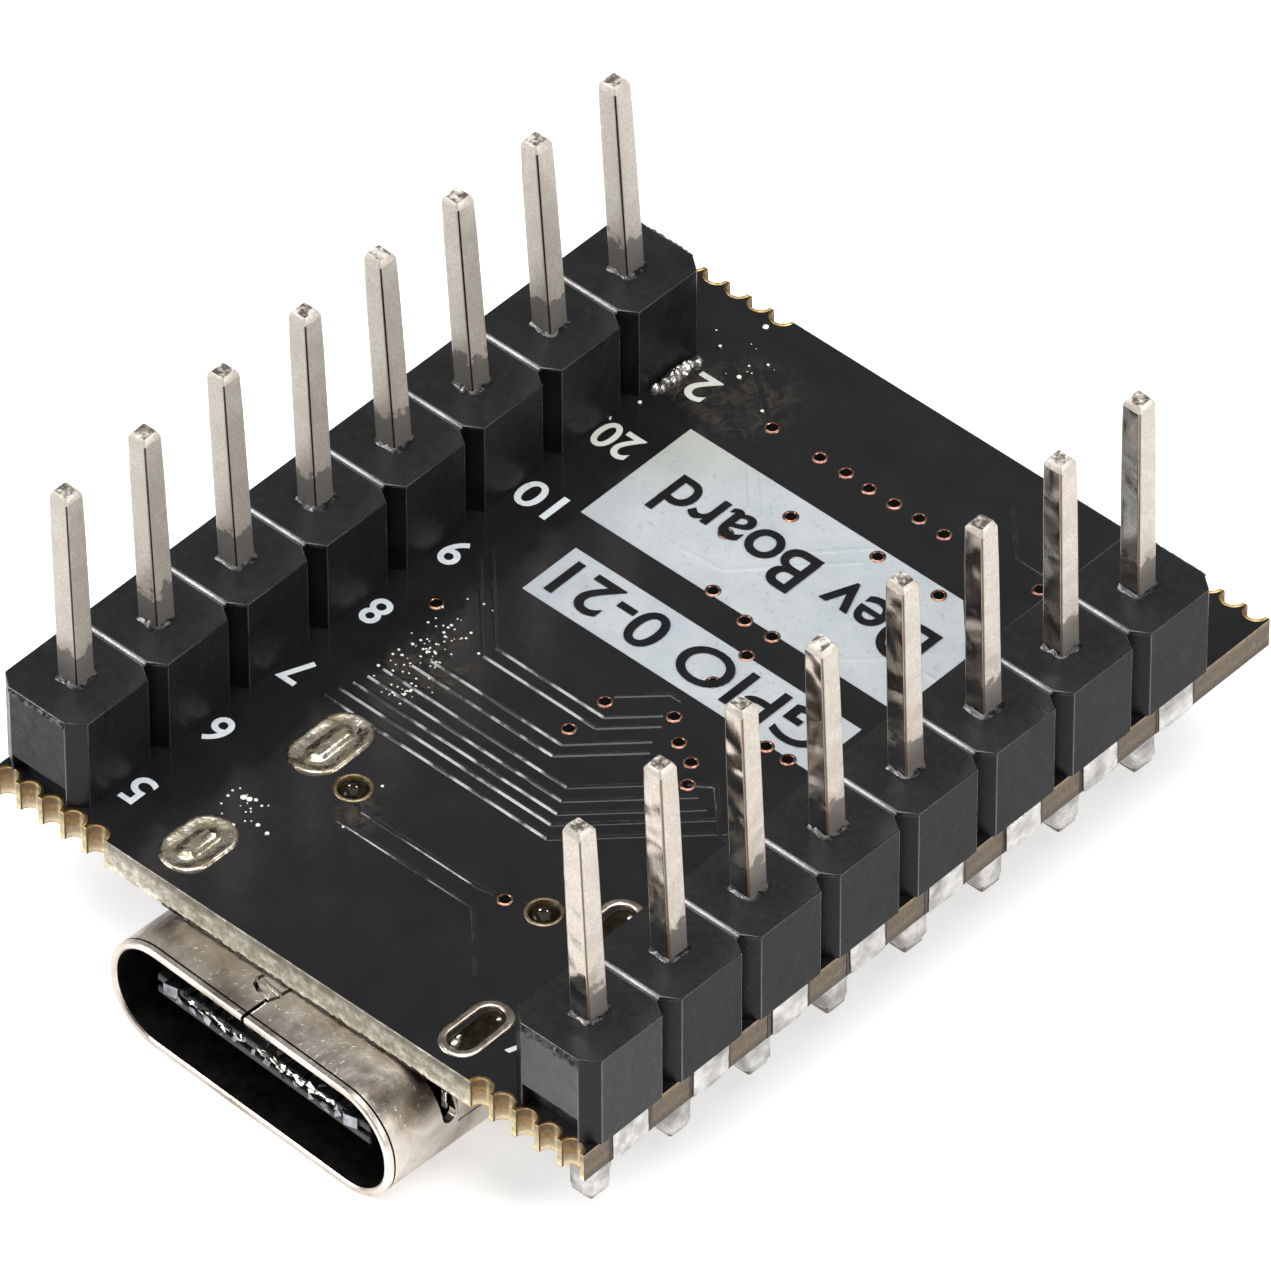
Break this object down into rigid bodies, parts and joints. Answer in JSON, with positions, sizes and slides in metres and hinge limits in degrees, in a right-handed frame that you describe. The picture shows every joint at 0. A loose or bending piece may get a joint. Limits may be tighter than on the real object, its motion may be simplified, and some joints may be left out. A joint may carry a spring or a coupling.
{
  "type": "microcontroller dev board",
  "caption": "Small rectangular microcontroller board with a USB-C receptacle at one end, a soldered pin header along each long side and two push buttons on the component side.",
  "frame": {"origin": "middle of the pin grid, on the outer face of the two header strips", "axes": "+Z along the free ends of the header pins, away from the board; +Y from the USB-C receptacle towards the antenna end; +X to the right of a viewer looking along +Y"},
  "size_m": [0.0178, 0.0239, 0.0121],
  "materials": {
    "board": "gloss black solder mask on glass epoxy",
    "header_plastic": "satin moulded plastic",
    "pin_metal": "tin plated",
    "solder": "solder",
    "shell_steel": "plated steel",
    "connector_plastic": "moulded plastic",
    "contact_metal": "plated",
    "chip_mould": "moulded epoxy",
    "ceramic": "fired ceramic",
    "capacitor_ceramic": "fired ceramic",
    "led_lens": "clear resin",
    "button_plastic": "moulded plastic"
  },
  "bodies": {
    "board": {"circuit_board": "board", "header_strip_left": "header_plastic", "header_strip_right": "header_plastic", "header_pins_left": "pin_metal", "header_pins_right": "pin_metal", "pin_solder_left": "solder", "pin_solder_right": "solder", "edge_solder_left": "solder", "edge_solder_right": "solder", "usb_shell": "shell_steel", "usb_tab_solder": "solder", "usb_housing": "connector_plastic", "usb_tongue": "connector_plastic", "usb_mid_plate": "shell_steel", "usb_contacts_upper": "contact_metal", "usb_contacts_lower": "contact_metal", "usb_leads": "contact_metal", "mcu_chip": "chip_mould", "mcu_pads": "solder", "crystal_base": "ceramic", "crystal_can": "shell_steel", "ceramic_antenna": "ceramic", "antenna_ends": "solder", "voltage_regulator": "chip_mould", "regulator_leads": "contact_metal", "capacitors": "capacitor_ceramic", "capacitor_ends": "solder", "resistors": "chip_mould", "resistor_ends": "solder", "power_led": "led_lens", "user_led": "led_lens", "led_ends": "solder", "boot_button_base": "connector_plastic", "boot_button_cover": "shell_steel", "boot_button_dome": "shell_steel", "boot_button_terminals": "contact_metal", "reset_button_base": "connector_plastic", "reset_button_cover": "shell_steel", "reset_button_dome": "shell_steel", "reset_button_terminals": "contact_metal"},
    "boot_plunger": {"boot_button_plunger": "button_plastic"},
    "reset_plunger": {"reset_button_plunger": "button_plastic"}
  },
  "joints": [
    {"name": "boot_button_press", "type": "slide", "parent": "board", "child": "boot_plunger", "axis": [0, 0, 1], "range_m": [0, 0.00025], "stiffness_N_per_m": 400, "deforming": ["boot_button_dome"]},
    {"name": "reset_button_press", "type": "slide", "parent": "board", "child": "reset_plunger", "axis": [0, 0, 1], "range_m": [0, 0.00025], "stiffness_N_per_m": 400, "deforming": ["reset_button_dome"]}
  ]
}
